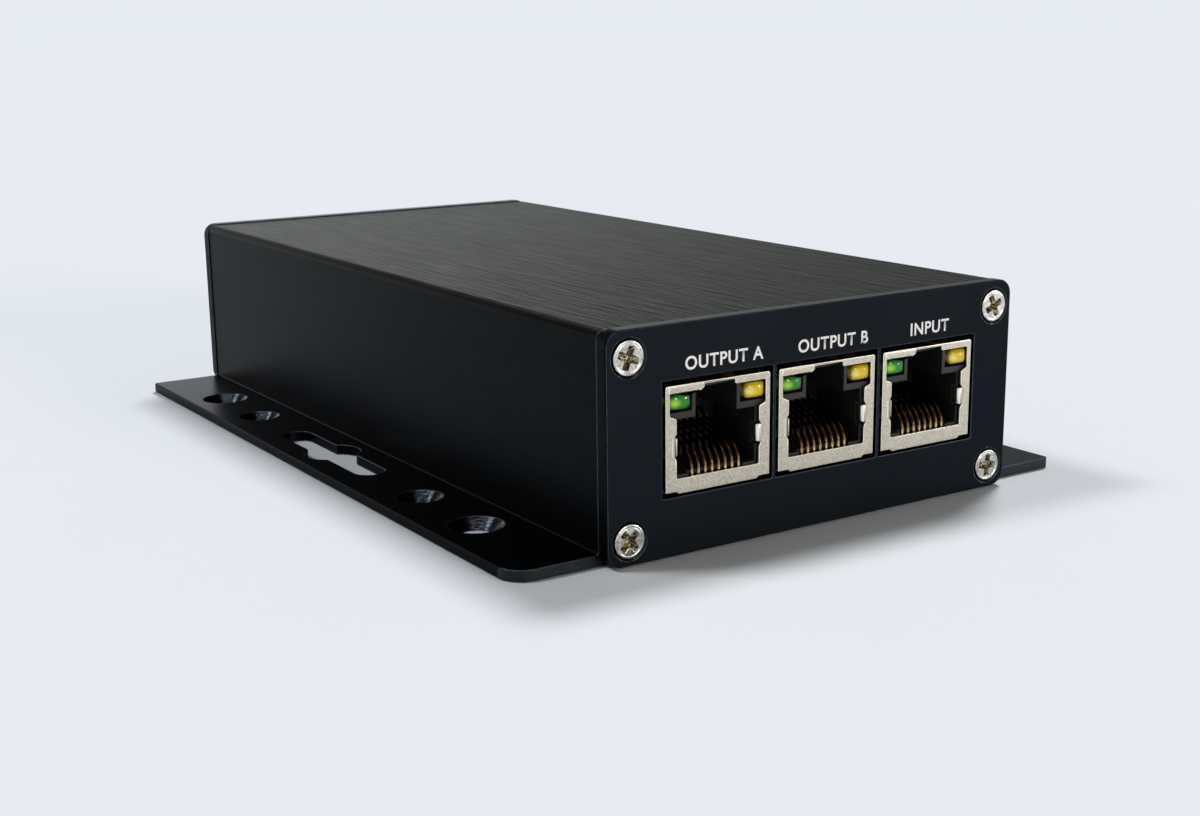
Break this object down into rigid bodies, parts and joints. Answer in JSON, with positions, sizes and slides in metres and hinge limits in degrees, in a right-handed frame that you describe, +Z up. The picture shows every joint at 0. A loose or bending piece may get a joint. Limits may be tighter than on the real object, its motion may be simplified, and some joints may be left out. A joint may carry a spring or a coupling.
{
  "type": "signal splitter",
  "caption": "Active signal splitter: a flanged extruded aluminium box with shielded modular sockets and status lamps in its front plate and a supply inlet in its rear plate.",
  "frame": {"origin": "centre of the bounding box's base, on the surface that the part stands on or is screwed to", "axes": "+X to the right across the front plate, +Y from the front plate to the rear plate, +Z up from the base"},
  "size_m": [0.0894, 0.131, 0.0288],
  "materials": {
    "brushed_anodised": "black anodised, brushed along the extrusion",
    "plate_anodised": "black anodised, fine blasted matt",
    "nickel": "bright nickel plate",
    "tinned_sheet": "satin nickel-plated copper alloy sheet",
    "jack_moulding": "black glass-filled nylon",
    "green_lamp": "green tinted epoxy lens",
    "yellow_lamp": "yellow tinted epoxy lens",
    "gold": "gold plate on phosphor bronze",
    "board": "green solder mask on glass laminate",
    "chip_epoxy": "black moulded epoxy",
    "ferrite": "grey-black sintered ferrite",
    "capacitor_can": "plain drawn aluminium can"
  },
  "bodies": {
    "root": {"housing": "brushed_anodised", "front_plate": "plate_anodised", "rear_plate": "plate_anodised", "front_screw_1": "nickel", "front_screw_2": "nickel", "front_screw_3": "nickel", "front_screw_4": "nickel", "rear_screw_1": "nickel", "rear_screw_2": "nickel", "rear_screw_3": "nickel", "rear_screw_4": "nickel", "circuit_board": "board", "jack_1_shield": "tinned_sheet", "jack_2_shield": "tinned_sheet", "jack_3_shield": "tinned_sheet", "jack_1_housing": "jack_moulding", "jack_2_housing": "jack_moulding", "jack_3_housing": "jack_moulding", "jack_1_led_green": "green_lamp", "jack_2_led_green": "green_lamp", "jack_3_led_green": "green_lamp", "jack_1_led_yellow": "yellow_lamp", "jack_2_led_yellow": "yellow_lamp", "jack_3_led_yellow": "yellow_lamp", "jack_1_contact_1": "gold", "jack_1_contact_2": "gold", "jack_1_contact_3": "gold", "jack_1_contact_4": "gold", "jack_1_contact_5": "gold", "jack_1_contact_6": "gold", "jack_1_contact_7": "gold", "jack_1_contact_8": "gold", "jack_2_contact_1": "gold", "jack_2_contact_2": "gold", "jack_2_contact_3": "gold", "jack_2_contact_4": "gold", "jack_2_contact_5": "gold", "jack_2_contact_6": "gold", "jack_2_contact_7": "gold", "jack_2_contact_8": "gold", "jack_3_contact_1": "gold", "jack_3_contact_2": "gold", "jack_3_contact_3": "gold", "jack_3_contact_4": "gold", "jack_3_contact_5": "gold", "jack_3_contact_6": "gold", "jack_3_contact_7": "gold", "jack_3_contact_8": "gold", "line_driver_1": "chip_epoxy", "line_driver_2": "chip_epoxy", "line_driver_3": "chip_epoxy", "logic_chip": "chip_epoxy", "regulator": "chip_epoxy", "choke": "ferrite", "supply_capacitor_1": "capacitor_can", "supply_capacitor_2": "capacitor_can", "power_jack_housing": "jack_moulding", "power_jack_pin": "nickel"}
  },
  "joints": []
}
